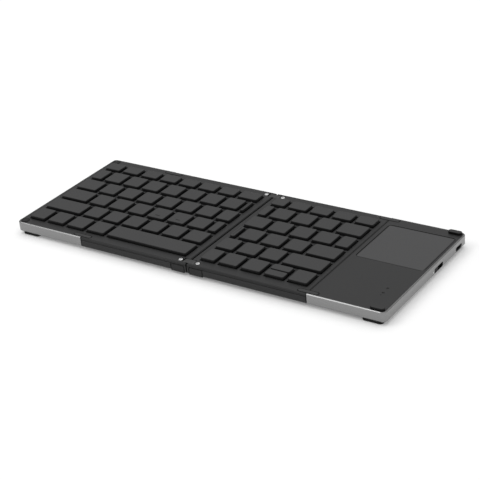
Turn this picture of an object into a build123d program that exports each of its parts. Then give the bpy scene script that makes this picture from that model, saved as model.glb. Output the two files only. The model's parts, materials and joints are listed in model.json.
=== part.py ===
"""Folding keyboard with a touchpad: two halves joined by a twin-axis hinge, laid out flat."""
import os
from build123d import *

os.makedirs("parts", exist_ok=True)

# ---- driving sizes, mm.  X runs left to right, Y front to back, Z up from the table ----
length = 304.5            # left end to right end, opened flat
depth = 118.0             # front edge to back edge
body_height = 7.8         # underside of the shells to the top of the decks
foot_height = 2.2
corner_radius = 3.5       # of the four outer corners, seen from above
left_shell_length = 60.0  # metal end shell of the left half
right_shell_length = 57.3  # metal end shell of the right half, under the touchpad
fold_gap = 1.1            # open line between the two halves
fold_bevel = 0.6
seam_gap = 0.4            # between metal shell and dark frame

bottom_thickness = 1.2
rim = 1.0                 # metal edge round the deck
shell_wall = 1.9          # metal wall below the deck's seat
frame_wall = 1.4
shell_top_bevel = 0.45
base_bevel = 1.1
tongue_length = 4.0       # frame's tongue inside the metal shell
tongue_thickness = 1.0
tongue_root = 0.35        # tongue's hold in the frame's walls
overcut = 1.0             # how far a cut runs past the edge it opens

deck_thickness = 1.6
skirt_depth = 2.0         # side band of the deck over the dark frames
skirt_thickness = 1.3
skirt_bevel = 0.8
parting_line = 0.3
lip_thickness = 0.7
lip_depth = 1.0
lip_gap = 1.0             # lip to the hinge leaf and to the frame's tongue
seat_clearance = 0.1      # round a panel that drops into a rim or a window

key_gap = 2.8             # between neighbouring caps
key_height = 3.5
key_rise = 2.2            # cap top above the deck
key_travel = 1.3
key_corner = 1.1
key_taper = 5.0           # degrees
function_key_depth = 10.8
end_margin = 5.6          # left end to the first cap
fold_margin = 6.0         # fold line to the nearest cap
seam_margin = 4.3         # last cap to the touchpad's seam
front_margin = 8.3        # front edge to the nearest row
back_margin = 9.1         # back edge to the farthest row
key_clearance = 0.35      # cap to the edge of its own opening in the deck
well_clearance = 0.9      # caps to the wall round the block, under the deck

plate_thickness = 0.5
membrane_thickness = 0.3
plate_margin = 0.5        # key plate beyond the key well
press_clearance = 0.2     # under a fully pressed cap

axis_drop = 1.3           # hinge axes below the deck's top
link_radius = 1.2
link_width = 4.8
link_inset = 1.9          # front edge to the link
link_clearance = 0.1
pin_radius = 0.5
pin_running = 0.05
pin_fixed = 0.02
ear_radius = 0.9
ear_bevel = 0.5
leaf_clearance = 0.35
pin_setback = 0.1
front_ear = 0.8
rear_ear = 1.7
leaf_inner = 2.0          # fold line to the leaf's rounded end
leaf_outer = 13.0         # fold line to the leaf's far end
leaf_corner = 2.0

screw_x = 7.1             # fold line to a deck screw
screw_y = 4.1             # front edge to a deck screw
screw_head_radius = 1.75
screw_head_height = 1.0
screw_shank_radius = 0.9
screw_length = 4.2
screw_clearance = 0.1
recess_radius = 2.0
recess_depth = 0.7
cross_width = 0.5
cross_length = 2.2
cross_depth = 0.6

strip_length = 15.8       # rubber cover strips over the shell seams
strip_width = 3.8
strip_y = 3.05            # front edge to the strip's middle
strip_seat = 0.9
rubber_clearance = 0.15   # round rubber parts in their pockets
strip_proud = 0.25

stud_radius = 2.9         # round pads of the left half
stud_inset_x = 4.9
stud_inset_y = 4.3
stud_seat = 0.8
stud_proud = 0.4
bar_length = 10.0         # raised pads of the right half
bar_width = 3.8
bar_inset_x = 7.0
bar_inset_y = 3.3
bar_seat = 0.8
bar_proud = 2.2
closed_clearance = 0.35   # between facing cap tops when folded, room for the ridges

foot_length = 15.0
foot_width = 5.0
foot_inset_x = 10.5
foot_inset_y = 3.8
foot_corner = 1.6
foot_bevel = 0.4
foot_seat = 0.5

touch_depth = 50.1
touch_back = 10.1         # back edge of the body to the touchpad
touch_inset = 2.5         # right end to the touchpad
touch_margin = 3.4        # touchpad to the seam
touch_ledge = 1.2
seam_line = 0.25          # open line between the key deck and the touchpad cover
touch_corner = 3.0
touch_thickness = 1.1
touch_step = 0.1          # touch surface below its cover
touch_groove = 0.3
light_inset = 13.2        # right end to the indicator lights
light_places = (28.7, 22.5, 19.4)  # front edge to each light
light_radii = (1.1, 1.1, 0.5)
light_height = 1.2
light_sides = 12          # the lights are many-sided, to keep their faces few

port_clearance = 0.1
port_z = 2.9              # underside of the body to the middle of the ports
usb_back = 12.4           # back edge to the middle of the charging port
usb_width = 8.9
usb_height = 3.1
usb_length = 7.2
usb_wall = 0.3
usb_tongue_width = 6.6
usb_tongue_thickness = 0.7
usb_tongue_setback = 1.2
switch_back = 43.0        # back edge to the middle of the switch slot
slot_width = 12.4
slot_height = 3.2
slot_corner = 0.8
switch_travel = 4.0
knob_width = 5.0
knob_height = 2.6
knob_setback = 0.3
knob_end = 0.5            # slider to the front end of its slot
switch_clearance = 0.3
knob_grooves = 4
knob_groove_width = 0.35
switch_body_length = 3.6
switch_body_width = 13.0
usb_setback = 0.5
board_inset = 2.6
bar_bevel = 0.5
split_gap = 0.6          # between the halves of the up and down key
homing_y = 4.2
homing_length = 3.6
homing_width = 0.5
homing_height = 0.25
led_gap = 7.8             # middle of the switch slot to the status light
led_radius = 0.5
led_length = 2.6

board_thickness = 0.8
board_length = 36.0
board_width = 62.0
board_back = 6.0          # back edge to the board
touch_board_thickness = 0.6
battery_length = 44.0
battery_width = 38.0
battery_height = 2.9
battery_inset = 8.25      # right end to the battery
battery_front = 7.0       # front edge to the battery
flex_width = 16.0
flex_length = 26.0
flex_thickness = 0.2
flex_slot_clearance = 0.4
inner_clearance = 0.15    # between stacked inner pieces

# Rows of caps as key widths with their gaps, back row first; each row fills its block.
left_rows = (
    (0.94, 1, 1, 1, 1, 1, 1, 1.11),
    (0.72, 1, 1, 1, 1, 1, 1, 1, 0.33),
    (1.20, 1, 1, 1, 1, 1, 1, 0.85),
    (1.50, 1, 1, 1, 1, 1, 1, 0.55),
    (1.98, 1, 1, 1, 1, 1, 1.07),
    (0.94, 1, 1.03, 1.05, 4.03),
)
right_rows = (
    (0.81, 1.02, 1.02, 1.02, 1.00),
    (0.53, 1.02, 1.02, 1.02, 1.28),
    (1.07, 1.01, 1.02, 1.02, 0.75),
    (0.40, 1.01, 1.02, 1.01, 1.43),
    (0.96, 1.02, 1.02, 1.87),
    (0.81, 1.01, 1.03, 1.02, 1.00),
)

# ---- places worked out from the sizes ----
half_length = length / 2
front = -depth / 2
half_gap = fold_gap / 2
base_z = foot_height
deck_z = foot_height + body_height
deck_under = deck_z - deck_thickness
skirt_z = deck_z - skirt_depth
wall_top = skirt_z - parting_line
floor_z = base_z + bottom_thickness
tongue_top = wall_top - lip_depth - inner_clearance
cap_top = deck_z + key_rise
cap_base = cap_top - key_height
membrane_top = cap_base - key_travel - press_clearance
plate_top = membrane_top - membrane_thickness
closed_gap = 2 * key_rise + closed_clearance
axis_x = axis_drop + closed_gap / 2
axis_z = deck_z - axis_drop
link_reach = link_radius + link_clearance
left_seam = half_length - left_shell_length
right_seam = half_length - right_shell_length
link_low = link_inset - link_clearance
link_high = link_inset + link_width + link_clearance
leaf_depth = link_high
ear_foot = base_z + body_height / 2
port_height = base_z + port_z
usb_y = -front - usb_back
switch_y = -front - switch_back
front_row = len(left_rows) - 1
row_pitch = (depth - front_margin - back_margin - function_key_depth) / front_row
block_front = front + front_margin
block_back = -front - back_margin
touch_width = right_shell_length - touch_margin - touch_inset
flex_z = (floor_z + plate_top - plate_thickness) / 2
switch_face = half_length - shell_wall - switch_clearance
knob_y = switch_y - slot_width / 2 + knob_width / 2 + knob_end
homing_keys = (4, 5)      # caps of the left block's home row that carry a ridge
left_block = (end_margin - half_length, -fold_margin)
right_block = (fold_margin, right_seam - seam_margin)


def save(piece, name):
    """Name a finished piece and write it."""
    piece.part.label = name
    export_step(piece.part, f"parts/{name}.step")


def stretch(low, high, side, width, y=0.0, mode=Mode.ADD):
    """Rectangle from one distance to another from the fold line, on the left (-1) or right (1)."""
    with Locations((side * (low + high) / 2, y)):
        Rectangle(high - low, width, mode=mode)


def end_outline(low, inset, side):
    """Outline up to the outer end, a given inset inside the body's outline, end corners rounded."""
    with BuildSketch(mode=Mode.PRIVATE) as outline:
        stretch(low, half_length - inset, side, depth - 2 * inset)
        corners = outline.vertices().sort_by(Axis.X)
        fillet(corners[-2:] if side > 0 else corners[:2], corner_radius - inset)
    add(outline.sketch)


def view(end, inset):
    """Upright plane a given distance inside the front (-1) or back (1) edge; amount=end * d goes inward."""
    return Plane.XZ.offset(-end * (depth / 2 - inset))


def leaf_outline(side, clearance):
    """Front view of a hinge leaf: a block with its upper corner rounded at the fold."""
    low = leaf_inner - clearance
    high = leaf_outer + clearance
    with BuildSketch(mode=Mode.PRIVATE) as outline:
        with Locations((side * (low + high) / 2, (base_z + wall_top) / 2)):
            Rectangle(high - low, wall_top - base_z + 2 * clearance)
        top = outline.vertices().group_by(Axis.Y)[-1].sort_by(Axis.X)
        fillet(top[0] if side > 0 else top[-1], leaf_corner)
    add(outline.sketch)


def link_room(side, end, low, high, radius):
    """Cut the room that a link needs to swing up: a round seat below, open above and towards the fold."""
    with BuildSketch(view(end, low)) as face:
        with Locations((side * axis_x, axis_z)):
            Circle(radius)
        with Locations((side * (axis_x + radius) / 2, axis_z)):
            Rectangle(axis_x + radius, body_height, align=(Align.CENTER, Align.MIN))
        with Locations((side * axis_x / 2, axis_z)):
            Rectangle(axis_x, 2 * radius)
    extrude(face.sketch, amount=end * (high - low), mode=Mode.SUBTRACT)


def ear(side, end, low, high, clearance, bottom, mode):
    """Ear about a hinge axis, bevelled at its top, or with a clearance the pocket that it stands in."""
    reach = ear_radius + clearance
    with BuildSketch(view(end, low - clearance)) as face:
        with Locations((side * axis_x, axis_z + reach)):
            Rectangle(2 * reach, axis_z + reach - bottom, align=(Align.CENTER, Align.MAX))
        chamfer(face.vertices().group_by(Axis.Y)[-1], ear_bevel)
    extrude(face.sketch, amount=end * (high - low + 2 * clearance), mode=mode)


def row_caps(widths, start, stop):
    """Middle and width of each cap in a row that fills its block."""
    key_width = (stop - start + key_gap) / sum(widths)
    x = start
    for units in widths:
        pitch = units * key_width
        yield x + (pitch - key_gap) / 2, pitch - key_gap
        x += pitch


def row_span(row):
    """Front and back of a row of caps, counted from the back row."""
    low = block_front + (front_row - row) * row_pitch
    return low, block_back if row == 0 else low + row_pitch - key_gap


def foot_places(side):
    """Outlines of the two feet of one half, corners cut."""
    with BuildSketch(mode=Mode.PRIVATE) as outline:
        with Locations((side * (half_length - foot_inset_x), 0)):
            with Locations((0, front + foot_inset_y), (0, -front - foot_inset_y)):
                Rectangle(foot_length, foot_width)
        chamfer(outline.vertices(), foot_corner)
    add(outline.sketch)


def screw_places(side, radius, height):
    """Six-sided shank of the front deck screw of one half, or its hole, at a given height."""
    with BuildSketch(Plane.XY.offset(height), mode=Mode.PRIVATE) as outline:
        with Locations((side * screw_x, front + screw_y)):
            RegularPolygon(radius, 6)
    return outline.sketch


# ---- lower shells ----
def end_shell(side, seam):
    """Metal cap of one end: bottom and walls in one, open to the fold side, with a seat for the deck."""
    with BuildPart() as shell:
        with BuildSketch(Plane.XY.offset(base_z)):
            end_outline(seam + seam_gap / 2, 0, side)
        extrude(amount=body_height)
        seam_face = shell.faces().sort_by(Axis.X)[0 if side > 0 else -1]
        kept = seam_face.edges()
        top = [edge for edge in shell.edges().group_by(Axis.Z)[-1] if edge not in kept]
        chamfer(top, shell_top_bevel)
        bottom = [edge for edge in shell.edges().group_by(Axis.Z)[0] if edge not in kept]
        chamfer(bottom, base_bevel)
        with BuildSketch(Plane.XY.offset(floor_z)):
            end_outline(seam - overcut, shell_wall, side)
        extrude(amount=body_height, mode=Mode.SUBTRACT)
        with BuildSketch(Plane.XY.offset(deck_under)):
            end_outline(seam - overcut, rim, side)
        extrude(amount=body_height, mode=Mode.SUBTRACT)
        with BuildSketch(Plane.XY.offset(base_z)):
            foot_places(side)
        extrude(amount=foot_seat, mode=Mode.SUBTRACT)
        if side > 0:
            port_holes()
    return shell


def port_holes():
    """Charging port, power switch slot and status light in the right end wall."""
    end_wall = Plane.YZ.offset(half_length)
    with BuildSketch(end_wall) as face:
        with Locations((usb_y, port_height)):
            SlotOverall(usb_width + 2 * port_clearance, usb_height + 2 * port_clearance)
        with Locations((switch_y, port_height)):
            RectangleRounded(slot_width, slot_height, slot_corner)
        with Locations((switch_y - led_gap, port_height)):
            RegularPolygon(led_radius, light_sides)
    extrude(face.sketch, amount=-2 * shell_wall, mode=Mode.SUBTRACT)


def centre_frame(side, seam):
    """Dark lower shell between the metal cap and the fold, with windows for the hinge leaves."""
    edge = seam - seam_gap / 2
    inner = 2 * (shell_wall + seat_clearance)
    with BuildPart() as shell:
        with BuildSketch(Plane.XY.offset(base_z)):
            stretch(half_gap, edge, side, depth)
        extrude(amount=wall_top - base_z)
        chamfer(shell.edges().group_by(Axis.Z)[0].filter_by(Axis.X), base_bevel)
        with BuildSketch(Plane.XY.offset(floor_z)):
            stretch(half_gap + frame_wall, seam, side, depth - 2 * frame_wall)
        extrude(amount=body_height, mode=Mode.SUBTRACT)
        with BuildSketch(Plane.XY.offset(floor_z + inner_clearance)):
            stretch(edge - tongue_length, seam + tongue_length, side, depth - inner)
            stretch(edge - tongue_length, edge, side, depth - 2 * (frame_wall - tongue_root))
            stretch(0, half_length, side, depth - inner - 2 * tongue_thickness, mode=Mode.SUBTRACT)
        extrude(amount=tongue_top - floor_z - inner_clearance)
        for end in (-1, 1):
            hinge_room(side, end)
        with BuildSketch(Plane.YZ):
            with Locations((0, flex_z)):
                Rectangle(flex_width + 2 * flex_slot_clearance, flex_thickness + 2 * flex_slot_clearance)
        extrude(amount=side * (half_gap + 2 * frame_wall), mode=Mode.SUBTRACT)
    return shell


def hinge_room(side, end):
    """Cut a frame's window for one hinge leaf, the seat of its rear ear and the way of the link."""
    with BuildSketch(view(end, 0)) as face:
        leaf_outline(side, leaf_clearance)
    extrude(face.sketch, amount=end * (leaf_depth + leaf_clearance), mode=Mode.SUBTRACT)
    link_room(side, end, link_low, link_high, link_radius + link_clearance)
    ear(side, end, front_ear, link_low, leaf_clearance, ear_foot, Mode.SUBTRACT)
    ear(side, end, link_high, link_high + rear_ear, leaf_clearance, floor_z, Mode.SUBTRACT)


# ---- hinge ----
def hinge_leaves(side):
    """Front and back leaf of one half: blocks that carry two ears each, bored for the hinge pins."""
    with BuildPart() as leaves:
        with BuildSketch(view(-1, 0)):
            leaf_outline(side, 0)
        extrude(amount=-leaf_depth)
        seat_low = skirt_thickness + leaf_clearance
        with BuildSketch(Plane.XY.offset(wall_top)):
            stretch(axis_x + link_reach, leaf_outer, side, leaf_depth - seat_low,
                    front + (seat_low + leaf_depth) / 2)
        extrude(amount=deck_under - wall_top)
        ear(side, -1, front_ear, link_low, 0, ear_foot, Mode.ADD)
        ear(side, -1, link_high, link_high + rear_ear, 0, floor_z + leaf_clearance, Mode.ADD)
        link_room(side, -1, link_low, link_high, link_reach)
        with BuildSketch(view(-1, 0)):
            with Locations((side * axis_x, axis_z)):
                Circle(pin_radius + pin_running)
        extrude(amount=-depth / 2, mode=Mode.SUBTRACT)
        shank = screw_places(side, screw_shank_radius + screw_clearance, deck_under)
        extrude(shank, amount=-screw_length, mode=Mode.SUBTRACT)
        mirror(about=Plane.XZ)
    return leaves


def link(end):
    """Link that joins the two axes at the front or the back of the fold."""
    with BuildPart() as bar:
        with BuildSketch(view(end, link_inset)):
            with Locations((0, axis_z)):
                SlotCenterToCenter(2 * axis_x, 2 * link_radius)
            with Locations((-axis_x, axis_z), (axis_x, axis_z)):
                Circle(pin_radius + pin_fixed, mode=Mode.SUBTRACT)
        extrude(amount=end * link_width)
    return bar


def hinge_pins():
    """Four pins, two for each link, that end inside the ears."""
    low = front_ear + pin_setback
    high = link_high + rear_ear - pin_setback
    with BuildPart() as pins:
        with BuildSketch(view(-1, low)):
            with Locations((-axis_x, axis_z), (axis_x, axis_z)):
                Circle(pin_radius)
        extrude(amount=-(high - low))
        mirror(about=Plane.XZ)
    return pins


def deck_screws(side):
    """Pan-head screws with a cross recess that hold the deck down on the hinge leaves."""
    seat = deck_z - recess_depth
    with BuildPart() as screws:
        with BuildSketch(Plane.XY.offset(seat)):
            with Locations((side * screw_x, front + screw_y)):
                Circle(screw_head_radius)
        extrude(amount=screw_head_height)
        extrude(screw_places(side, screw_shank_radius, seat), amount=-screw_length)
        with BuildSketch(Plane.XY.offset(seat + screw_head_height)):
            with Locations((side * screw_x, front + screw_y)):
                Rectangle(cross_length, cross_width)
                Rectangle(cross_width, cross_length)
        extrude(amount=-cross_depth, mode=Mode.SUBTRACT)
        mirror(about=Plane.XZ)
    return screws


# ---- decks ----
def well_outline(start, stop, margin, mode=Mode.ADD):
    """Rectangle round a block of keys, a given margin larger all round."""
    with Locations(((start + stop) / 2, (block_front + block_back) / 2)):
        Rectangle(stop - start + 2 * margin, block_back - block_front + 2 * margin, mode=mode)


def key_openings(rows, start, stop):
    """Openings in a deck, one for each cap of its block."""
    for row, widths in enumerate(rows):
        low, high = row_span(row)
        for x, width in row_caps(widths, start, stop):
            with Locations((x, (low + high) / 2)):
                Rectangle(width + 2 * key_clearance, high - low + 2 * key_clearance)


def strip_outline(side, seam, clearance=0.0):
    """Long-round outline of the rubber strips over a seam, front and back, or of their pockets."""
    with Locations((side * seam, 0)):
        with Locations((0, front + strip_y), (0, -front - strip_y)):
            SlotOverall(strip_length + 2 * clearance, strip_width + 2 * clearance)


def deck_details(side, seam):
    """Cut what both decks have at the fold: slots for the links, ear pockets and screw recesses."""
    for end in (-1, 1):
        link_room(side, end, link_low, link_high, link_reach)
        ear(side, end, front_ear, link_low, seat_clearance, base_z, Mode.SUBTRACT)
        ear(side, end, link_high, link_high + rear_ear, seat_clearance, base_z, Mode.SUBTRACT)
        with Locations((side * screw_x, end * (depth / 2 - screw_y), deck_z)):
            Hole(recess_radius, depth=recess_depth)
        shank = screw_places(side, screw_shank_radius + screw_clearance, deck_under)
        extrude(shank if end < 0 else mirror(shank, about=Plane.XZ, mode=Mode.PRIVATE),
                amount=deck_thickness, mode=Mode.SUBTRACT)
    with BuildSketch(Plane.XY.offset(deck_z - strip_seat)) as face:
        strip_outline(side, seam, rubber_clearance)
    extrude(face.sketch, amount=body_height, mode=Mode.SUBTRACT)


def wide_deck(side, edge, seam):
    """Deck over a dark frame: top plate, side skirts, and a lip that stands inside the frame's walls."""
    with BuildSketch(Plane.XY.offset(skirt_z)) as face:
        stretch(half_gap, edge, side, depth)
    extrude(face.sketch, amount=skirt_depth)
    with BuildSketch(Plane.XY.offset(skirt_z)) as face:
        stretch(half_gap + skirt_thickness, edge + overcut, side, depth - 2 * skirt_thickness)
    extrude(face.sketch, amount=deck_under - skirt_z, mode=Mode.SUBTRACT)
    with BuildSketch(Plane.XY.offset(wall_top - lip_depth)) as face:
        stretch(leaf_outer + lip_gap, seam - tongue_length - lip_gap, side,
                depth - 2 * (frame_wall + seat_clearance))
        stretch(0, half_length, side, depth - 2 * (frame_wall + seat_clearance + lip_thickness),
                mode=Mode.SUBTRACT)
    extrude(face.sketch, amount=deck_under - wall_top + lip_depth)


def left_top():
    """Deck of the left half: over the dark frame and on into the rim of the metal cap."""
    edge = left_seam - seam_gap / 2
    with BuildPart() as deck:
        wide_deck(-1, edge, left_seam)
        with BuildSketch(Plane.XY.offset(deck_under)):
            end_outline(edge - overcut, rim + seat_clearance, -1)
        extrude(amount=deck_thickness)
        deck_bevels(deck, -1)
        key_well(left_rows, *left_block)
        deck_details(-1, left_seam)
        with BuildSketch(Plane.XY.offset(deck_z - stud_seat)):
            stud_places(stud_radius + rubber_clearance)
        extrude(amount=body_height, mode=Mode.SUBTRACT)
    return deck


def right_top():
    """Deck of the right half's key block, from the fold to the touchpad's seam."""
    edge = right_seam - seam_line / 2
    with BuildPart() as deck:
        wide_deck(1, edge, right_seam)
        deck_bevels(deck, 1)
        key_well(right_rows, *right_block)
        deck_details(1, right_seam)
    return deck


def deck_bevels(deck, side):
    """Bevel a deck's long edges over the dark frame, and its edge along the fold."""
    top = deck.edges().group_by(Axis.Z)[-1]
    chamfer(top.filter_by(Axis.X).filter_by(lambda edge: abs(edge.center().Y) > depth / 2 - 0.01), skirt_bevel)
    top = deck.edges().group_by(Axis.Z)[-1].filter_by(Axis.Y)
    chamfer(top.sort_by(Axis.X)[-1 if side < 0 else 0], fold_bevel)


def key_well(rows, start, stop):
    """Wall under a deck round its block of keys, down to the membrane, and the openings for the caps."""
    with BuildSketch(Plane.XY.offset(membrane_top)) as face:
        well_outline(start, stop, well_clearance + plate_margin)
        well_outline(start, stop, well_clearance, mode=Mode.SUBTRACT)
    extrude(face.sketch, amount=deck_under - membrane_top)
    with BuildSketch(Plane.XY.offset(deck_under)) as face:
        key_openings(rows, start, stop)
    extrude(face.sketch, amount=body_height, mode=Mode.SUBTRACT)


def stud_places(radius):
    """Circles of the two round pads at the left end."""
    with Locations((-half_length + stud_inset_x, 0)):
        with Locations((0, front + stud_inset_y), (0, -front - stud_inset_y)):
            Circle(radius)


def bar_places(clearance=0.0):
    """Long-round outlines of the two raised pads at the right end, or of their pockets."""
    with Locations((half_length - bar_inset_x, 0)):
        with Locations((0, front + bar_inset_y), (0, -front - bar_inset_y)):
            SlotOverall(bar_length + 2 * clearance, bar_width + 2 * clearance)


def touch_outline(inset, corner):
    """Outline of the touchpad, a given inset smaller all round, square where its corner is 0."""
    with Locations((half_length - touch_inset - touch_width / 2, -front - touch_back - touch_depth / 2)):
        if corner:
            RectangleRounded(touch_width - 2 * inset, touch_depth - 2 * inset, corner)
        else:
            Rectangle(touch_width - 2 * inset, touch_depth - 2 * inset)


def light_outlines():
    """Outlines of the indicator lights beside the touchpad."""
    for place, radius in zip(light_places, light_radii):
        with Locations((half_length - light_inset, front + place)):
            RegularPolygon(radius, light_sides)


def touchpad_cover():
    """Smooth cover of the right end, open over the touchpad, with places for lights and pads."""
    with BuildPart() as cover:
        with BuildSketch(Plane.XY.offset(deck_under)):
            end_outline(right_seam + seam_line / 2, rim + seat_clearance, 1)
        extrude(amount=deck_thickness)
        with BuildSketch(Plane.XY.offset(deck_z - touch_step - touch_thickness)):
            touch_outline(0, touch_corner)
        extrude(amount=body_height, mode=Mode.SUBTRACT)
        with BuildSketch(Plane.XY.offset(deck_under)):
            touch_outline(touch_ledge, 0)
        extrude(amount=body_height, mode=Mode.SUBTRACT)
        with BuildSketch(Plane.XY.offset(deck_under)):
            light_outlines()
        extrude(amount=deck_thickness, mode=Mode.SUBTRACT)
        with BuildSketch(Plane.XY.offset(deck_z - bar_seat)):
            bar_places(rubber_clearance)
        extrude(amount=body_height, mode=Mode.SUBTRACT)
        with BuildSketch(Plane.XY.offset(deck_z - strip_seat)):
            strip_outline(1, right_seam, rubber_clearance)
        extrude(amount=body_height, mode=Mode.SUBTRACT)
    return cover


def touchpad_plate():
    """Touch surface, set a hair below its cover with an open groove round it."""
    with BuildPart() as plate:
        with BuildSketch(Plane.XY.offset(deck_z - touch_step - touch_thickness)):
            touch_outline(touch_groove, touch_corner - touch_groove)
        extrude(amount=touch_thickness)
        chamfer(plate.edges().group_by(Axis.Z)[-1], touch_step)
    return plate


def touchpad_board():
    """Sensor board glued under the touch surface."""
    with BuildPart() as board:
        with BuildSketch(Plane.XY.offset(deck_z - touch_step - touch_thickness - touch_board_thickness)):
            touch_outline(touch_ledge + touch_groove, 0)
        extrude(amount=touch_board_thickness)
    return board


# ---- rubber ----
def seam_strips(side, seam):
    """Rubber strips that hide the screws where frame and metal cap meet."""
    with BuildPart() as strips:
        with BuildSketch(Plane.XY.offset(deck_z - strip_seat)):
            strip_outline(side, seam)
        extrude(amount=strip_seat + strip_proud)
    return strips


def round_pads():
    """Two round rubber pads of the left half, nearly flush."""
    with BuildPart() as pads:
        with BuildSketch(Plane.XY.offset(deck_z - stud_seat)):
            stud_places(stud_radius)
        extrude(amount=stud_seat + stud_proud)
    return pads


def raised_pads():
    """Two raised rubber pads of the right half, on the side that faces the keys when folded."""
    with BuildPart() as pads:
        with BuildSketch(Plane.XY.offset(deck_z - bar_seat)):
            bar_places()
        extrude(amount=bar_seat + bar_proud)
        chamfer(pads.edges().group_by(Axis.Z)[-1], bar_bevel)
    return pads


def feet(side):
    """Two long rubber feet let into the bottom of a metal cap."""
    with BuildPart() as pads:
        with BuildSketch():
            foot_places(side)
        extrude(amount=foot_height + foot_seat)
        chamfer(pads.edges().group_by(Axis.Z)[0], foot_bevel)
    return pads


# ---- inside ----
def key_sheet(block, top, thickness):
    """Sheet under a block of keys: the stiff key plate or the switch membrane on it."""
    with BuildPart() as sheet:
        with BuildSketch(Plane.XY.offset(top - thickness)):
            well_outline(*block, well_clearance + plate_margin)
        extrude(amount=thickness)
    return sheet


def flex_tail(side):
    """Flat cable from under the key plate to the fold."""
    with BuildPart() as tail:
        with BuildSketch(Plane.XY.offset(flex_z - flex_thickness / 2)):
            stretch(half_gap, flex_length, side, flex_width)
        extrude(amount=flex_thickness)
    return tail


def main_board():
    """Controller board above the ports, at the right end."""
    with BuildPart() as board:
        with BuildSketch(Plane.XY.offset(port_height + usb_height / 2 + inner_clearance)):
            stretch(half_length - board_inset - board_length, half_length - board_inset, 1, board_width,
                    -front - board_back - board_width / 2)
        extrude(amount=board_thickness)
    return board


def battery():
    """Flat cell in the metal cap, in front of the board."""
    with BuildPart() as cell:
        with BuildSketch(Plane.XY.offset(floor_z + inner_clearance)):
            stretch(half_length - battery_inset - battery_length, half_length - battery_inset, 1,
                    battery_width, front + battery_front + battery_width / 2)
        extrude(amount=battery_height)
    return cell


def usb_socket():
    """Charging socket: a flat oval tube, closed at the back, with its tongue."""
    mouth = Plane.YZ.offset(half_length - usb_setback)
    with BuildPart() as socket:
        with BuildSketch(mouth):
            with Locations((usb_y, port_height)):
                SlotOverall(usb_width, usb_height)
        extrude(amount=-usb_length)
        with BuildSketch(mouth):
            with Locations((usb_y, port_height)):
                SlotOverall(usb_width - 2 * usb_wall, usb_height - 2 * usb_wall)
        extrude(amount=usb_wall - usb_length, mode=Mode.SUBTRACT)
        with BuildSketch(mouth.offset(-usb_tongue_setback)):
            with Locations((usb_y, port_height)):
                Rectangle(usb_tongue_width, usb_tongue_thickness)
        extrude(amount=usb_tongue_setback - usb_length + usb_wall)
    return socket


def power_switch():
    """Body of the slide switch behind its slot."""
    with BuildPart() as switch:
        with BuildSketch(Plane.YZ.offset(switch_face)):
            with Locations((switch_y, port_height)):
                Rectangle(switch_body_width, slot_height - 2 * port_clearance)
        extrude(amount=-switch_body_length)
    return switch


def power_knob():
    """Ribbed slider of the power switch, at the front end of its slot."""
    with BuildPart() as knob:
        with BuildSketch(Plane.YZ.offset(switch_face + seat_clearance)):
            with Locations((knob_y, port_height)):
                Rectangle(knob_width, knob_height)
        extrude(amount=half_length - knob_setback - switch_face - seat_clearance)
        with BuildSketch(Plane.XY.offset(port_height)):
            with Locations((half_length - knob_setback, knob_y)):
                with GridLocations(1, knob_width / (knob_grooves + 1), 1, knob_grooves):
                    Rectangle(2 * knob_groove_width, knob_groove_width)
        extrude(amount=knob_height, both=True, mode=Mode.SUBTRACT)
    return knob


def status_light():
    """Tiny lens beside the switch slot."""
    with BuildPart() as lens:
        with BuildSketch(Plane.YZ.offset(half_length)):
            with Locations((switch_y - led_gap, port_height)):
                RegularPolygon(led_radius, light_sides)
        extrude(amount=-led_length)
    return lens


def indicator_lights():
    """Three lenses let into the touchpad cover."""
    with BuildPart() as lenses:
        with BuildSketch(Plane.XY.offset(deck_z - light_height)):
            light_outlines()
        extrude(amount=light_height)
    return lenses


# ---- keys ----
def key_caps(caps, ridged=()):
    """Caps as tapered blocks with cut corners; some carry a finding ridge."""
    with BuildPart() as keys:
        with BuildSketch(Plane.XY.offset(cap_base)) as outlines:
            for x, width, low, high in caps:
                with Locations((x, (low + high) / 2)):
                    Rectangle(width, high - low)
            chamfer(outlines.vertices(), key_corner)
        extrude(amount=key_height, taper=key_taper)
        for x, low in ridged:
            with BuildSketch(Plane.XY.offset(cap_top - homing_height)):
                with Locations((x, low + homing_y)):
                    Rectangle(homing_length, homing_width)
            extrude(amount=2 * homing_height)
    return keys


def key_block(name, rows, start, stop, own_keys, ridged_keys=(), split_key=None):
    """Write the caps of one half: a node for each row, and one for each key with a name of its own."""
    for row, widths in enumerate(rows):
        low, high = row_span(row)
        shared, ridges = [], []
        for place, (x, width) in enumerate(row_caps(widths, start, stop)):
            if (row, place) == split_key:
                middle = (low + high) / 2
                save(key_caps([(x, width, low, middle - split_gap / 2)]), "down_arrow_key")
                save(key_caps([(x, width, middle + split_gap / 2, high)]), "up_arrow_key")
            elif (row, place) in own_keys:
                save(key_caps([(x, width, low, high)]), own_keys[row, place])
            else:
                shared.append((x, width, low, high))
                if (row, place) in ridged_keys:
                    ridges.append((x, low))
        save(key_caps(shared, ridges), f"{name}_keys_row_{row + 1}")


# ---- write every piece ----
for side, name, seam, block in ((-1, "left", left_seam, left_block), (1, "right", right_seam, right_block)):
    save(end_shell(side, seam), f"{name}_end_shell")
    save(centre_frame(side, seam), f"{name}_centre_frame")
    save(hinge_leaves(side), f"{name}_hinge_leaves")
    save(deck_screws(side), f"{name}_deck_screws")
    save(seam_strips(side, seam), f"{name}_seam_strips")
    save(feet(side), f"{name}_feet")
    save(key_sheet(block, plate_top, plate_thickness), f"{name}_key_plate")
    save(key_sheet(block, membrane_top, membrane_thickness), f"{name}_membrane")
    save(flex_tail(side), f"{name}_flex_cable")

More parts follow.
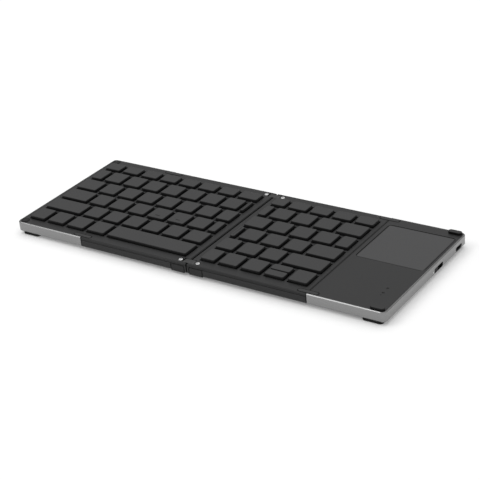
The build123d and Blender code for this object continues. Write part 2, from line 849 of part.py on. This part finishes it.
save(left_top(), "left_deck")
save(right_top(), "right_deck")
save(link(-1), "front_link")
save(link(1), "back_link")
save(hinge_pins(), "hinge_pins")
save(round_pads(), "round_pads")
save(raised_pads(), "raised_pads")
save(touchpad_cover(), "touchpad_cover")
save(touchpad_plate(), "touchpad_plate")
save(touchpad_board(), "touchpad_board")
save(main_board(), "main_board")
save(battery(), "battery")
save(usb_socket(), "usb_socket")
save(power_switch(), "power_switch")
save(power_knob(), "power_knob")
save(status_light(), "status_light")
save(indicator_lights(), "indicator_lights")

key_block("left", left_rows, *left_block,
          {(2, 0): "tab_key", (3, 0): "caps_key", (4, 0): "left_shift_key", (5, 4): "space_bar"},
          ridged_keys=[(3, place) for place in homing_keys])
key_block("right", right_rows, *right_block,
          {(1, 4): "backspace_key", (3, 4): "enter_key", (4, 3): "right_shift_key",
           (5, 2): "left_arrow_key", (5, 4): "right_arrow_key"},
          split_key=(5, 3))
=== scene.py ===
import json
import math

import bmesh
import bpy
from mathutils import Matrix, Vector


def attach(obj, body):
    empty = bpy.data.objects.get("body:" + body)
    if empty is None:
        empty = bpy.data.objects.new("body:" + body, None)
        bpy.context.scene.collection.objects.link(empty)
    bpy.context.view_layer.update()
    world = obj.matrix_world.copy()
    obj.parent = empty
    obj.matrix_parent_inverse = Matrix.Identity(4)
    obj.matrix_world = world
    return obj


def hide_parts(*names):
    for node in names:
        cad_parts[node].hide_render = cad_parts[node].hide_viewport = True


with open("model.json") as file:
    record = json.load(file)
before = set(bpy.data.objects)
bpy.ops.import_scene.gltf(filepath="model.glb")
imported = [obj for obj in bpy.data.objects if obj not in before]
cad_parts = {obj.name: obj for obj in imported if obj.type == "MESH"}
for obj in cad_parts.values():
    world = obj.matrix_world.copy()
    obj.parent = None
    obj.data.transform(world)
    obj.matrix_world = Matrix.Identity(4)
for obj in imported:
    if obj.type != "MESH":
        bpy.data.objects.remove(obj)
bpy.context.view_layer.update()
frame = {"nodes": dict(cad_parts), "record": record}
nodes = frame["nodes"]
slotOf = {part["node"]: part["material_slot"] for part in frame["record"]["subparts"]}
bodyOf = {name: body for body, names in frame["record"]["behaviour"]["bodies"].items() for name in names}
print("frame loaded:", len(nodes), "nodes")


class Link:  # one socket of a graph; its operators add Math nodes
    def __init__(self, graph, socket):
        self.graph, self.socket = graph, socket

    def math(self, operation, *values):
        return self.graph.node("Math", {"operation": operation}, *values)

    def __add__(self, other): return self.math("ADD", self, other)
    def __radd__(self, other): return self.math("ADD", other, self)
    def __sub__(self, other): return self.math("SUBTRACT", self, other)
    def __rsub__(self, other): return self.math("SUBTRACT", other, self)
    def __mul__(self, other): return self.math("MULTIPLY", self, other)
    def __rmul__(self, other): return self.math("MULTIPLY", other, self)
    def __truediv__(self, other): return self.math("DIVIDE", self, other)
    def __rtruediv__(self, other): return self.math("DIVIDE", other, self)
    def __abs__(self): return self.math("ABSOLUTE", self)

    def over(self, level, soft):  # 0 below the level, 1 above it
        smooth = {"interpolation_type": "SMOOTHSTEP"}
        return self.graph.node("MapRange", smooth, self, level - soft, level + soft)


class Graph:  # a node tree and the calls that fill it
    def __init__(self, tree):
        self.tree = tree
        tree.nodes.clear()

    def node(self, kind, settings, *values, output=None, **named):
        made = self.tree.nodes.new("ShaderNode" + kind)
        for key, value in settings.items():
            if key == "stops":  # a ramp's (position, colour) pairs
                while len(made.color_ramp.elements) < len(value):
                    made.color_ramp.elements.new(0.5)
                for stop, (position, colour) in zip(made.color_ramp.elements, value):
                    stop.position, stop.color = position, (*colour, 1)
            else:
                setattr(made, key, value)
        sockets = [s for s in made.inputs if s.enabled]
        pairs = list(zip(sockets, values))
        pairs += [(next(s for s in sockets if s.name.replace(" ", "") == name), value)
                  for name, value in named.items()]
        for socket, value in pairs:
            if isinstance(value, Link):
                self.tree.links.new(value.socket, socket)
            else:
                socket.default_value = (*value, 1) if socket.type == "RGBA" else value
        outputs = [s for s in made.outputs if s.enabled and output in (None, s.name)]
        return Link(self, outputs[0]) if outputs else made

    def mix(self, share, first, second):
        return self.node("Mix", {"data_type": "RGBA"}, share, first, second)


class Finish(Graph):  # a material; noise follows the object's own place
    def __init__(self, name):
        self.material = bpy.data.materials.new(name)
        self.material.use_nodes = True
        super().__init__(self.material.node_tree)
        self.place = self.node("TexCoord", {}, output="Object")

    def noise(self, size, detail=2.0, rough=0.5):  # grain size in metres
        spread = self.node("VectorMath", {"operation": "MULTIPLY"}, self.place, [1 / size] * 3)
        return self.node("TexNoise", {}, Vector=spread, Scale=1.0, Detail=detail, Roughness=rough)

    def bump(self, height, depth):
        return self.node("Bump", {}, Height=height, Distance=depth, Strength=1.0)

    def done(self, **sockets):
        self.node("OutputMaterial", {}, Surface=self.node("BsdfPrincipled", {}, **sockets))
        return self.material


def shades(tone, *factors):
    return [[channel * factor for channel in tone] for factor in factors]


def camel(name, tail=""):
    words = name.split("_")
    return words[0] + "".join(word.capitalize() for word in words[1:]) + tail


plastic = {
    "detail": 3.0, "grainRough": 0.6, "sheen": 0.25,
    "cloudSize": 0.03, "cloudTone": 0.06, "cloudGloss": 0.08, "grainGloss": 0.06,
    "extremes": (0.7, 1.3),  # darkest and lightest share of the tone
    "wallLevel": 0.82, "wallSoft": 0.15,  # how upright a side must be to get the painted shade
    # painted shade beside an open seam: reach, softness and the darkest share of the tone
    "jointReach": 0.0007, "jointSoft": 0.00028, "jointTone": 0.12,
}


# moulded or coated plastic: fine grain in tone, gloss and bump, with painted shade on upright sides and
# beside open seams
def grainedPlastic(name, tone, grain, rough, depth, spread=0.12, walls=1.0, joints=()):
    f = Finish(name)
    fine = f.noise(grain, plastic["detail"], plastic["grainRough"])
    cloud = f.noise(plastic["cloudSize"])
    shade = (fine - 0.5) * spread + (cloud - 0.5) * plastic["cloudTone"]
    colour = f.mix(shade + 0.5, *shades(tone, *plastic["extremes"]))
    if walls < 1:  # painted shade: upright sides darker than the top, standing for shade on faces turned away from the overhead light
        upward = f.node("SeparateXYZ", {}, f.node("TexCoord", {}, output="Normal"), output="Z")
        colour = f.mix(upward.over(plastic["wallLevel"], plastic["wallSoft"]), *shades(tone, walls), colour)
    for axis, place in joints:  # painted shade: darker beside an open joint, standing for the shadow in the gap
        across = f.node("SeparateXYZ", {}, f.place, output=axis) - place
        clear = abs(across).over(plastic["jointReach"], plastic["jointSoft"])
        colour = f.mix(clear, *shades(tone, plastic["jointTone"]), colour)
    gloss = rough + (cloud - 0.5) * plastic["cloudGloss"] + (fine - 0.5) * plastic["grainGloss"]
    return f.done(BaseColor=colour, Roughness=gloss, Normal=f.bump(fine, depth),
                  SpecularIORLevel=plastic["sheen"])


metal = {
    "gritSize": 0.00012, "detail": 3.0, "gritRough": 0.7, "gritDepth": 0.000004, "gritGloss": 0.1,
    "cloudSize": 0.02, "cloudGloss": 0.06,
    "extremes": (0.85, 1.15),
}


# bead-blasted metal: fine grit in tone, gloss and bump
def blastedMetal(name, tone, rough):
    f = Finish(name)
    grit = f.noise(metal["gritSize"], metal["detail"], metal["gritRough"])
    cloud = f.noise(metal["cloudSize"])
    gloss = rough + (cloud - 0.5) * metal["cloudGloss"] + (grit - 0.5) * metal["gritGloss"]
    return f.done(BaseColor=f.mix(grit, *shades(tone, *metal["extremes"])), Metallic=1.0, Roughness=gloss,
                  Normal=f.bump(grit, metal["gritDepth"]))


metals = {  # slot: tone, roughness
    "satin_metal": ((0.25, 0.25, 0.25), 0.25),
    "bright_screws": ((0.62, 0.62, 0.62), 0.14),
    "link_metal": ((0.075, 0.075, 0.075), 0.4),
    "pin_steel": ((0.5, 0.5, 0.51), 0.25),
    "socket_steel": ((0.14, 0.14, 0.14), 0.3),
}
seams = (("X", 0.09475), ("X", -0.09205))  # places of the open seams beside the end shells and the touchpad cover, with painted shade beside each
# places of the open seams on the hinge leaves, touchpad cover and touch film, with painted shade beside each
leafJoints = (("X", 0.002), ("X", -0.002), ("X", 0.013), ("X", -0.013), ("Z", 0.0077))
coverJoint = (("X", 0.09507),)
filmJoints = (("X", 0.09865), ("X", 0.14945), ("Y", 0.0486), ("Y", -0.0009))
plastics = {  # slot: tone, grain size, roughness, bump depth, anything special, such as painted shade on upright sides and beside open seams
    "frame_plastic": ((0.021, 0.021, 0.0215), 0.0002, 0.45, 0.000006, {"joints": seams}),
    "leaf_plastic": ((0.017, 0.017, 0.0172), 0.0002, 0.5, 0.000006, {"joints": leafJoints}),
    "strip_rubber": ((0.034, 0.034, 0.0345), 0.0002, 0.6, 0.000005, {"walls": 0.08}),
    "foot_rubber": ((0.008, 0.008, 0.008), 0.0003, 0.75, 0.00001, {}),
    "plate_steel": ((0.03, 0.03, 0.03), 0.0003, 0.5, 0.000004, {}),
    "membrane_film": ((0.015, 0.015, 0.016), 0.0004, 0.6, 0.000004, {}),
    "flex_film": ((0.25, 0.12, 0.03), 0.0004, 0.4, 0.000002, {}),
    "deck_plastic": ((0.02, 0.02, 0.0205), 0.00018, 0.45, 0.000006, {"walls": 0.6, "joints": seams}),
    "key_plastic": ((0.034, 0.034, 0.0345), 0.00018, 0.47, 0.000006, {"walls": 0.4}),
    "pad_rubber": ((0.032, 0.032, 0.032), 0.0003, 0.65, 0.000008, {"walls": 0.1}),
    "cover_plastic": ((0.02, 0.02, 0.0204), 0.00015, 0.4, 0.000003, {"walls": 0.3, "joints": coverJoint}),
    "touch_film": ((0.05, 0.05, 0.051), 0.0006, 0.42, 0.00001, {"spread": 0.7, "joints": filmJoints}),
    "board_laminate": ((0.02, 0.12, 0.05), 0.0003, 0.4, 0.000004, {}),
    "battery_foil": ((0.4, 0.4, 0.42), 0.0003, 0.35, 0.000006, {}),
    "switch_plastic": ((0.02, 0.02, 0.021), 0.0002, 0.5, 0.000005, {}),
    "light_lens": ((0.8, 0.82, 0.8), 0.0004, 0.25, 0.000002, {}),
    "indicator_lens": ((0.006, 0.006, 0.006), 0.0004, 0.3, 0.000002, {}),
}
finishes = {slot: blastedMetal(camel(slot), *values) for slot, values in metals.items()}
for slot, (tone, grain, rough, depth, special) in plastics.items():
    finishes[slot] = grainedPlastic(camel(slot), tone, grain, rough, depth, **special)
print(len(finishes), "finishes")


weldDistance = 1e-6
leastRadius = 1e-5


def islandBoxes(name):  # lowest and highest corner of each loose solid of a CAD node
    bm = bmesh.new()
    bm.from_mesh(nodes[name].data)
    bmesh.ops.remove_doubles(bm, verts=bm.verts, dist=weldDistance)
    left, boxes = set(bm.verts), []
    while left:
        found, edge = set(), [left.pop()]
        while edge:
            vert = edge.pop()
            found.add(vert)
            for near in (e.other_vert(vert) for e in vert.link_edges):
                if near in left:
                    left.remove(near)
                    edge.append(near)
        boxes.append(tuple(Vector(pick(v.co[i] for v in found) for i in range(3)) for pick in (min, max)))
    bm.free()
    return sorted(boxes, key=lambda box: (round(box[0].y, 4), box[0].x))


def halfway(low, high):
    return (low.x + high.x) / 2, (low.y + high.y) / 2


def roundRing(middle, width, depth, radius, height, steps):  # rounded rectangle at a height
    radius = max(min(radius, width / 2, depth / 2), leastRadius)
    ring = []
    for turn, (sx, sy) in enumerate(((1, 1), (-1, 1), (-1, -1), (1, -1))):
        x, y = middle[0] + sx * (width / 2 - radius), middle[1] + sy * (depth / 2 - radius)
        for step in range(steps + 1):
            angle = math.pi / 2 * (turn + step / steps)
            ring.append(Vector((x + radius * math.cos(angle), y + radius * math.sin(angle), height)))
    return ring


def circle(middle, width, height, steps):
    return roundRing(middle, width, width, width / 2, height, steps)


def skin(bm, rows):  # quads from row to row
    for low, high in zip(rows, rows[1:]):
        for i in range(len(low)):
            j = (i + 1) % len(low)
            bm.faces.new((low[i], low[j], high[j], high[i]))


def loft(bm, rings, turn=None):  # skin from ring to ring, closed at both ends
    rows = [[bm.verts.new(turn @ point if turn else point) for point in ring] for ring in rings]
    skin(bm, rows)
    bm.faces.new(rows[0][::-1])
    bm.faces.new(rows[-1])


form = {
    "roundSteps": 4,  # steps of the soft top edge
    "dishSteps": ((0.0003, 0.15), (0.0009, 0.45), (0.0018, 0.8), (0.0028, 1.0)),  # way in, share of the dish
    "dishLimit": 0.42,  # share of the width that the dish's steps may take
    "leastCorner": 0.0002,
    "taperShare": 0.4, "softShare": 0.7, "dishShare": 0.6,  # how fast the corner shrinks on the way in
}


# block with rounded corners and a soft top edge; the dish sinks its middle
def pillow(bm, low, high, radius, soft, taper=0.0, dish=0.0, turn=None, steps=6):
    width, depth = high.x - low.x, high.y - low.y

    def ring(inset, corner, height):
        return roundRing(halfway(low, high), width - 2 * inset, depth - 2 * inset, corner, height, steps)

    rings = [ring(0, radius, low.z), ring(taper, radius - taper * form["taperShare"], high.z - soft)]
    for step in range(1, form["roundSteps"] + 1):
        angle = math.pi / 2 * step / form["roundSteps"]
        inset = taper + soft * (1 - math.cos(angle))
        rings.append(ring(inset, radius - inset * form["softShare"], high.z - soft * (1 - math.sin(angle))))
    inset = taper + soft
    for step, drop in form["dishSteps"]:
        reach = min(step, form["dishLimit"] * min(width, depth) - inset)
        if reach <= 0:
            break
        corner = max(radius - inset * form["softShare"] - reach * form["dishShare"], form["leastCorner"])
        rings.append(ring(inset + reach, corner, high.z - dish * drop))
    loft(bm, rings, turn)


def makePiece(name, bm, cadNode):  # a finished mesh that stands for one CAD node
    bmesh.ops.recalc_face_normals(bm, faces=bm.faces)
    data = bpy.data.meshes.new(name)
    bm.to_mesh(data)
    bm.free()
    for face in data.polygons:
        face.use_smooth = True
    piece = bpy.data.objects.new(name, data)
    bpy.context.scene.collection.objects.link(piece)
    data.materials.append(finishes[slotOf[cadNode]])
    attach(piece, bodyOf[cadNode])
    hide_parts(cadNode)
    return piece


# every CAD node gets its finish, and the ones below soft edges
soft = {
    "left_deck": 0.00018, "right_deck": 0.00018, "touchpad_cover": 0.00022, "touchpad_plate": 0.00008,
    "left_end_shell": 0.00018, "right_end_shell": 0.00018,
    "left_centre_frame": 0.00025, "right_centre_frame": 0.00025,
    "left_hinge_leaves": 0.0003, "right_hinge_leaves": 0.0003, "front_link": 0.0002, "back_link": 0.0002,
    "power_knob": 0.00007, "usb_socket": 0.00005,
}
sharpAngle = 35  # degrees between faces from which an edge is softened
for name, part in nodes.items():
    part.data.materials.clear()
    part.data.materials.append(finishes[slotOf[name]])
    for face in part.data.polygons:
        face.material_index = 0
    if name in soft:
        weld = part.modifiers.new("weld", "WELD")
        weld.merge_threshold = weldDistance
        bevel = part.modifiers.new("softEdge", "BEVEL")
        bevel.width, bevel.segments, bevel.limit_method = soft[name], 2, "ANGLE"
        bevel.angle_limit = math.radians(sharpAngle)
print("finishes on", len(nodes), "nodes")


cap = {
    "corner": 0.0014, "soft": 0.0006, "taper": 0.0003, "dish": 0.00006,
    "plainHeight": 0.00365,  # a cap higher than this carries a finding ridge
    "ridge": (0.0036, 0.0006, 0.00025),  # length, width, height
    "ridgeFromFront": 0.0042, "ridgeSoft": 0.0002, "ridgeRoot": 0.0002, "ridgeShy": 0.00002,
}
capCount = 0
for name in [n for n in nodes if slotOf[n] == "key_plastic"]:
    bm = bmesh.new()
    for low, high in islandBoxes(name):
        long, wide, tall = cap["ridge"]
        ridged = high.z - low.z > cap["plainHeight"]
        top = high.z - (tall if ridged else 0)
        pillow(bm, low, Vector((high.x, high.y, top)), cap["corner"], cap["soft"], cap["taper"], cap["dish"])
        if ridged:
            x, y = halfway(low, high)[0], low.y + cap["ridgeFromFront"]
            root = Vector((x - long / 2, y - wide / 2, top - cap["ridgeRoot"]))
            crest = Vector((x + long / 2, y + wide / 2, top + tall - cap["ridgeShy"]))
            pillow(bm, root, crest, wide / 2, cap["ridgeSoft"])
        capCount += 1
    makePiece(camel(name, "Caps"), bm, name)
print(capCount, "caps")


# deck screws with a domed head and a cross
screw = {
    "dome": 0.00045, "domePower": 2.6, "headScale": 0.92, "headHeight": 0.001, "shankScale": 0.48,
    "crossLength": 0.0012, "crossWidth": 0.0006, "crossDepth": 0.0008, "crossTurn": 0.5,
    "armEnd": 0.0002, "armSide": 0.00012,  # how softly an arm's floor rises
    "rings": 26, "turns": 56, "merge": 1e-7,
}


def armDepth(along, across):  # 1 on the floor of one arm of the cross
    end = (screw["crossLength"] - abs(along)) / screw["armEnd"]
    side = (screw["crossWidth"] - abs(across)) / screw["armSide"]
    return max(0.0, min(1.0, end)) * max(0.0, min(1.0, side))


for name in ("left_deck_screws", "right_deck_screws"):
    bm = bmesh.new()
    for low, high in islandBoxes(name):
        (x, y), radius = halfway(low, high), (high.x - low.x) / 2 * screw["headScale"]
        rows = []
        for k in range(screw["rings"] + 1):
            share, row = 1 - k / screw["rings"], []
            reach = share * radius
            for step in range(screw["turns"]):
                angle = 2 * math.pi * step / screw["turns"]
                u, v = reach * math.cos(angle), reach * math.sin(angle)
                sunk = screw["crossDepth"] * max(armDepth(u, v), armDepth(v, u))
                z = high.z - screw["dome"] * share ** screw["domePower"] - sunk
                angle += screw["crossTurn"]
                row.append(bm.verts.new((x + reach * math.cos(angle), y + reach * math.sin(angle), z)))
            rows.append(row)
        under = high.z - screw["headHeight"]
        rim = [bm.verts.new((v.co.x, v.co.y, under)) for v in rows[0]]
        slim = screw["shankScale"]
        shank = [bm.verts.new((x + (v.co.x - x) * slim, y + (v.co.y - y) * slim, under)) for v in rows[0]]
        tip = [bm.verts.new((v.co.x, v.co.y, low.z)) for v in shank]
        skin(bm, [tip, shank, rim] + rows)
        bm.faces.new(tip[::-1])
    bmesh.ops.remove_doubles(bm, verts=bm.verts, dist=screw["merge"])
    makePiece(camel(name, "Domed"), bm, name)
print("screws")


strip = {"soft": 0.0005, "taper": 0.0002, "steps": 10}
for name in ("left_seam_strips", "right_seam_strips"):
    bm = bmesh.new()
    for low, high in islandBoxes(name):
        pillow(bm, low, high, (high.y - low.y) / 2, strip["soft"], strip["taper"], steps=strip["steps"])
    makePiece(camel(name, "Moulded"), bm, name)

bar = {"soft": 0.0003, "lowered": 0.0005, "steps": 10}
bm = bmesh.new()
for low, high in islandBoxes("raised_pads"):
    high.z -= bar["lowered"]  # the photograph shows them lower than the CAD
    pillow(bm, low, high, (high.y - low.y) / 2, bar["soft"], steps=bar["steps"])
makePiece("raisedPadsMoulded", bm, "raised_pads")

pad = {
    "rings": ((0.0, 0.00012), (0.00018, 0.0), (0.0003, 0.00022), (0.00055, 0.00026), (0.0007, 0.00008),
              (0.0012, 0.0)),  # way in, way down
    "steps": 12,
    # the pads' upright sides get painted shade at this share of the tone
    "finish": ((0.01, 0.01, 0.01), 0.0003, 0.6, 0.000008), "walls": 0.3,
}
bm = bmesh.new()
for low, high in islandBoxes("round_pads"):
    middle, width = halfway(low, high), high.x - low.x
    rings = [circle(middle, width, low.z, pad["steps"])]
    rings += [circle(middle, width - 2 * inset, high.z - drop, pad["steps"]) for inset, drop in pad["rings"]]
    loft(bm, rings)
roundPads = makePiece("roundPadsMoulded", bm, "round_pads")
roundPads.data.materials[0] = grainedPlastic("roundPadRubber", *pad["finish"], walls=pad["walls"])

foot = {"corner": 0.0024, "soft": 0.0005, "steps": 8}
flip = Matrix.Scale(-1, 4, Vector((0, 0, 1)))  # feet are soft at their lower edge
for name in ("left_feet", "right_feet"):
    bm = bmesh.new()
    for low, high in islandBoxes(name):
        pillow(bm, Vector((low.x, low.y, -high.z)), Vector((high.x, high.y, -low.z)), foot["corner"],
               foot["soft"], turn=flip, steps=foot["steps"])
    makePiece(camel(name, "Moulded"), bm, name)
print("rubber parts")


indicator = {
    "dimple": 0.0005, "fullWidth": 0.002,  # a narrower light has a shallower dimple
    "rings": ((1, 0.06), (0.94, 0.0), (0.88, 0.06), (0.75, 0.45), (0.5, 0.85), (0.2, 1.0)),  # width, depth
    "steps": 8,
}
bm = bmesh.new()
for low, high in islandBoxes("indicator_lights"):
    middle, width = halfway(low, high), high.x - low.x
    dimple = indicator["dimple"] * min(1, width / indicator["fullWidth"])
    rings = [circle(middle, width, low.z, indicator["steps"])]
    rings += [circle(middle, width * share, high.z - dimple * drop, indicator["steps"])
              for share, drop in indicator["rings"]]
    loft(bm, rings)
makePiece("indicatorDimples", bm, "indicator_lights")

lensSoft = 0.00012
toEnd = Matrix(((0, 0, 1, 0), (1, 0, 0, 0), (0, 1, 0, 0), (0, 0, 0, 1)))  # the lens looks along X
bm = bmesh.new()
for low, high in islandBoxes("status_light"):
    pillow(bm, Vector((low.y, low.z, low.x)), Vector((high.y, high.z, high.x)), (high.y - low.y) / 2,
           lensSoft, turn=toEnd)
makePiece("statusLens", bm, "status_light")
print("lights")


camera = {
    "target": (0.0038, 0.0010, 0.0),
    "azimuth": 35.7, "elevation": 27.57, "roll": 5.19,  # degrees
    "distance": 0.998,
    "lens": 105.4, "sensor": 36,
    "clip": (0.05, 20),
}
az, el, roll = (math.radians(camera[k]) for k in ("azimuth", "elevation", "roll"))
back = Vector((math.sin(az) * math.cos(el), -math.cos(az) * math.cos(el), math.sin(el)))
right = (-back).cross(Vector((0, 0, 1))).normalized()
down = (-back).cross(right)
turned = Matrix((math.cos(roll) * right + math.sin(roll) * down,
                 math.sin(roll) * right - math.cos(roll) * down, back))
viewer = bpy.data.objects.new("viewer", bpy.data.cameras.new("viewer"))
bpy.context.scene.collection.objects.link(viewer)
viewer.data.lens, viewer.data.sensor_width = camera["lens"], camera["sensor"]
viewer.data.clip_start, viewer.data.clip_end = camera["clip"]
eye = Vector(camera["target"]) + camera["distance"] * back
viewer.matrix_world = Matrix.Translation(eye) @ turned.transposed().to_4x4()
bpy.context.scene.camera = viewer
print("camera set")


studio = {
    "floorHalf": 4,
    "floorTone": (0.8, 0.8, 0.8), "floorExtremes": (0.995, 1.005), "floorGrain": 0.004, "floorRough": 0.9,
    "floorGlow": 0.17,
    "worldTones": ((-0.05, 0.22), (0.25, 0.5), (0.8, 0.85)),  # height on the sky, tone
    "lamps": (  # name, place, size, watts
        ("keyLamp", (-0.15, 0.35, 1.9), 2.6, 14.5),
        ("fillLamp", (-0.8, -0.85, 1.35), 0.8, 5.0),
    ),
}
h = studio["floorHalf"]
mesh = bpy.data.meshes.new("floor")
mesh.from_pydata([(-h, -h, 0), (h, -h, 0), (h, h, 0), (-h, h, 0)], [], [(0, 1, 2, 3)])
floor = bpy.data.objects.new("floor", mesh)
bpy.context.scene.collection.objects.link(floor)
f = Finish("floorPaper")
cameraRay, glossyRay, throughRay = (
    f.node("LightPath", {}, output=ray) for ray in ("Is Camera Ray", "Is Glossy Ray", "Is Transmission Ray"))
paper = f.mix(f.noise(studio["floorGrain"]), *shades(studio["floorTone"], *studio["floorExtremes"]))
glow = f.mix(cameraRay + glossyRay + throughRay, (0, 0, 0), (1, 1, 1))
mesh.materials.append(f.done(BaseColor=paper, Roughness=studio["floorRough"], SpecularIORLevel=0.0,
                             EmissionStrength=studio["floorGlow"], EmissionColor=glow))
world = bpy.data.worlds.new("studio")
bpy.context.scene.world = world
world.use_nodes = True
g = Graph(world.node_tree)
height = g.node("SeparateXYZ", {}, g.node("TexCoord", {}, output="Generated"), output="Z")
tones = [((level + 1) / 2, [tone] * 3) for level, tone in studio["worldTones"]]
sky = g.node("ValToRGB", {"stops": tones}, height * 0.5 + 0.5, output="Color")
backdrop = g.mix(g.node("LightPath", {}, output="Is Camera Ray"), sky, (1, 1, 1))
g.node("OutputWorld", {}, Surface=g.node("Background", {}, Color=backdrop, Strength=1.0))
for name, place, size, watts in studio["lamps"]:
    lamp = bpy.data.objects.new(name, bpy.data.lights.new(name, "AREA"))
    lamp.data.energy, lamp.data.size = watts, size
    lamp.location = place
    lamp.rotation_euler = (-Vector(place)).to_track_quat("-Z", "Y").to_euler()
    bpy.context.scene.collection.objects.link(lamp)
bpy.context.scene.view_settings.view_transform = "Standard"
print("studio set")
